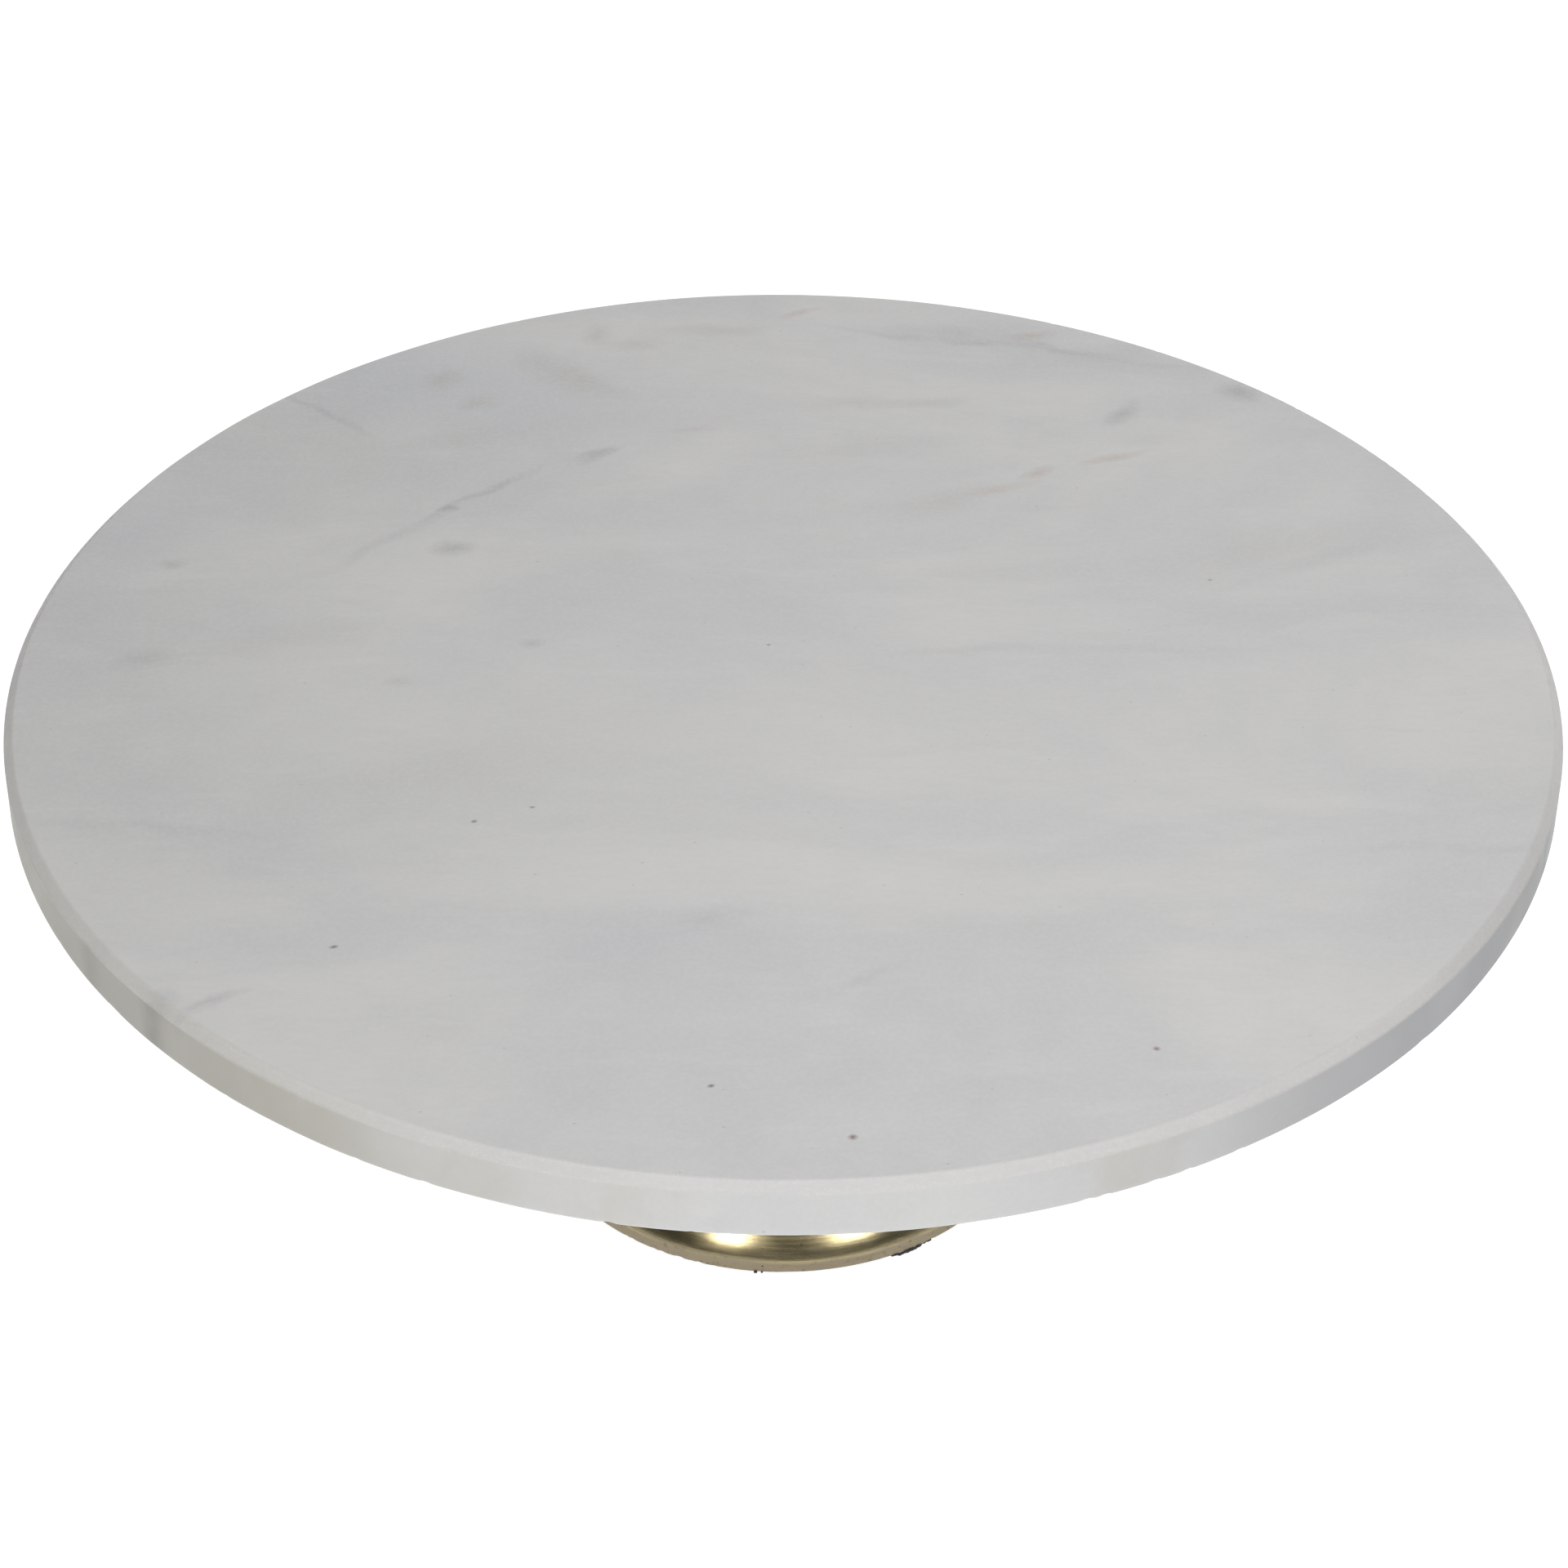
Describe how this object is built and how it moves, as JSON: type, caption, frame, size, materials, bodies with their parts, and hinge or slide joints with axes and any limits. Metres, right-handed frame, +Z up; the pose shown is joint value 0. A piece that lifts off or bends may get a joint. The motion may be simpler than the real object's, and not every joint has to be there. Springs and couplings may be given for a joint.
{
  "type": "lazy susan turntable",
  "caption": "Round bevelled marble top that turns freely on a ball bearing above a flared brass pedestal with a felt-covered foot.",
  "frame": {"origin": "centre of the felt's underside, on the spin axis, where the turntable stands", "axes": "+Z up along the spin axis to the marble's upper face; the object is round, so X and Y are level and free"},
  "size_m": [0.356, 0.356, 0.1325],
  "materials": {
    "marble": "honed white marble, faint grey veins",
    "brass": "aged brass, satin, fine turning lines",
    "felt": "black wool felt",
    "plated_steel": "zinc plated",
    "spring_steel": "blackened",
    "bearing_steel": "ground, lightly oiled",
    "ball_steel": "polished",
    "screw_steel": "zinc plated",
    "cage_nylon": "natural nylon",
    "cushion_rubber": "smooth black rubber",
    "insert_brass": "bright turned brass"
  },
  "bodies": {
    "pedestal": {"felt_pad": "felt", "bottom_plate": "plated_steel", "foot": "brass", "collar": "brass", "head": "brass", "tie_rod": "plated_steel", "tie_rod_lower_nut": "plated_steel", "tie_rod_spring_washer": "spring_steel", "tie_rod_lower_washer": "plated_steel", "tie_rod_upper_nut": "plated_steel", "tie_rod_upper_washer": "plated_steel", "bearing_lower_race": "bearing_steel", "bearing_retainer": "plated_steel", "flange_screws": "screw_steel", "flange_screw_washers": "plated_steel"},
    "ball_cage": {"bearing_cage": "cage_nylon", "bearing_balls": "ball_steel"},
    "turntable": {"bearing_upper_race": "bearing_steel", "race_screws": "screw_steel", "top_plate": "brass", "cushion_ring": "cushion_rubber", "stone_inserts": "insert_brass", "stone_screws": "screw_steel", "stone_screw_washers": "plated_steel", "marble_top": "marble"}
  },
  "joints": [
    {"name": "turntable_spin", "type": "hinge", "parent": "pedestal", "child": "turntable", "pos_m": [0, 0, 0.1106], "axis": [0, 0, 1], "continuous": true},
    {"name": "cage_spin", "type": "hinge", "parent": "pedestal", "child": "ball_cage", "pos_m": [0, 0, 0.1106], "axis": [0, 0, 1], "continuous": true}
  ],
  "couplings": [
    {"joint": "cage_spin", "follows": "turntable_spin", "ratio": 0.5}
  ]
}
